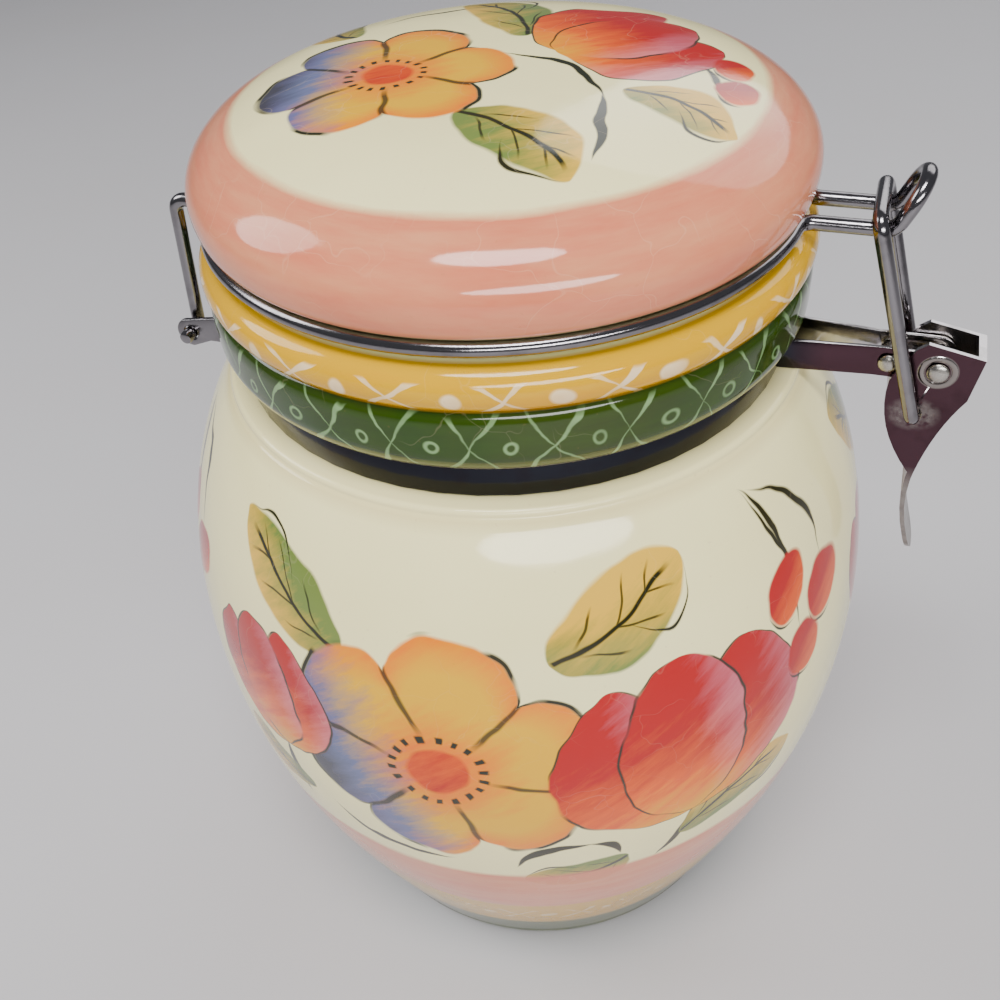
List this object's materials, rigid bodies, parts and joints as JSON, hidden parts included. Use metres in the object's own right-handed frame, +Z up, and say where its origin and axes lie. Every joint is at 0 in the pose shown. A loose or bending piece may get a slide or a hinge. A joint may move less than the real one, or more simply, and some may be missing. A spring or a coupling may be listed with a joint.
{
  "type": "ceramic canister with wire bail latch",
  "caption": "Round-bellied glazed ceramic storage canister with a hinged ceramic lid, rubber seal, steel neck band and an over-centre lever that pulls a wire bail down on the lid wire.",
  "frame": {"origin": "centre of the flat base, on the surface that the canister stands on", "axes": "+Z up along the jar's axis, +X towards the latch, -X towards the hinge, every pivot parallel to Y"},
  "size_m": [0.1861, 0.1716, 0.2334],
  "materials": {
    "jar_glaze": "glossy clear glaze over cream slip with painted bands",
    "lid_glaze": "glossy clear glaze, pink rim and cream crown",
    "gasket_rubber": "soft matt",
    "wire_chrome": "bright drawn wire, lightly worn",
    "band_chrome": "bright rolled strip",
    "bracket_chrome": "bright stamped sheet",
    "lever_chrome": "bright stamped sheet, worn at the holes",
    "rivet_steel": "dull headed steel"
  },
  "bodies": {
    "jar": {"jar": "jar_glaze", "neck_band": "band_chrome", "hinge_bracket": "bracket_chrome", "pivot_rivet": "rivet_steel", "tie_rivet": "rivet_steel"},
    "lid": {"lid": "lid_glaze", "gasket": "gasket_rubber", "lid_wire": "wire_chrome"},
    "lever": {"lever": "lever_chrome"},
    "bail": {"bail": "wire_chrome"}
  },
  "joints": [
    {"name": "lid_hinge", "type": "hinge", "parent": "jar", "child": "lid", "pos_m": [-0.071, 0, 0.1768], "axis": [0, -1, 0], "range_deg": [0, 110]},
    {"name": "lever_swing", "type": "hinge", "parent": "jar", "child": "lever", "pos_m": [0.092, 0, 0.1787], "axis": [0, -1, 0], "range_deg": [0, 115]},
    {"name": "bail_swing", "type": "hinge", "parent": "lid", "child": "bail", "pos_m": [0.0756, 0, 0.2122], "axis": [0, -1, 0], "range_deg": [0, 25.5]}
  ],
  "couplings": [
    {"joint": "bail_swing", "follows": "lever_swing", "ratio": 0.22}
  ]
}
